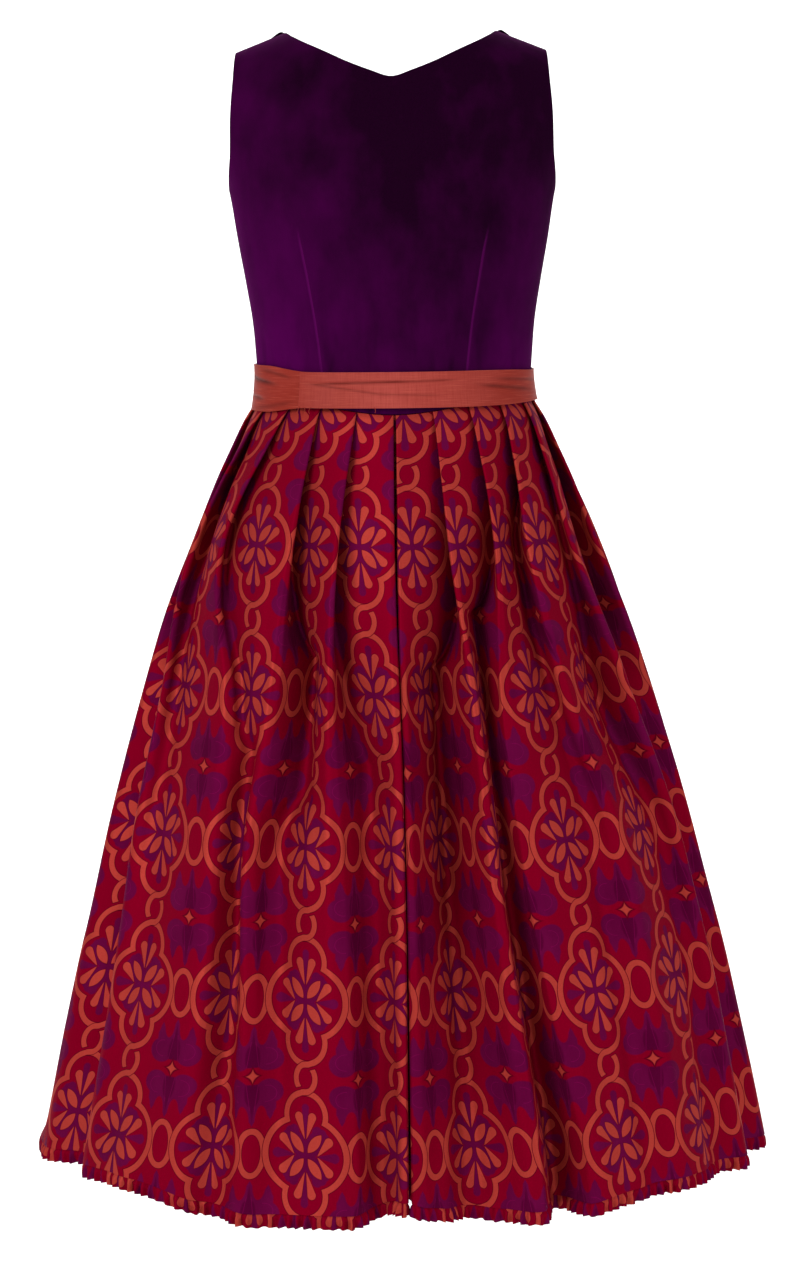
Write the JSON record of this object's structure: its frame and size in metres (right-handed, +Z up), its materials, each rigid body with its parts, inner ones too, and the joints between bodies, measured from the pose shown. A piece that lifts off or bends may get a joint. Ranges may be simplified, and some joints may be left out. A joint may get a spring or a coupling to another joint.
{
  "type": "dirndl dress",
  "caption": "Sleeveless midi dirndl in its worn hollow form: fitted bodice with a shallow V back, waist sash, knife-pleated bell skirt and a gathered hem frill.",
  "frame": {"origin": "midway between the inner ends of the two shoulder seams, where the dress is held up", "axes": "+Z up, the wearer's front faces -Y and the back faces +Y, the wearer's left is +X"},
  "size_m": [0.7384, 0.5046, 1.127],
  "materials": {
    "velvet": "dark aubergine pile",
    "sash_silk": "terracotta slub silk",
    "figured_silk": "woven figured silk"
  },
  "bodies": {
    "root": {"bodice_back": "velvet", "bodice_front_left": "velvet", "bodice_front_right": "velvet", "waist_sash": "sash_silk", "skirt_back": "figured_silk", "skirt_front_left": "figured_silk", "skirt_front_right": "figured_silk", "hem_frill": "figured_silk"}
  },
  "joints": []
}
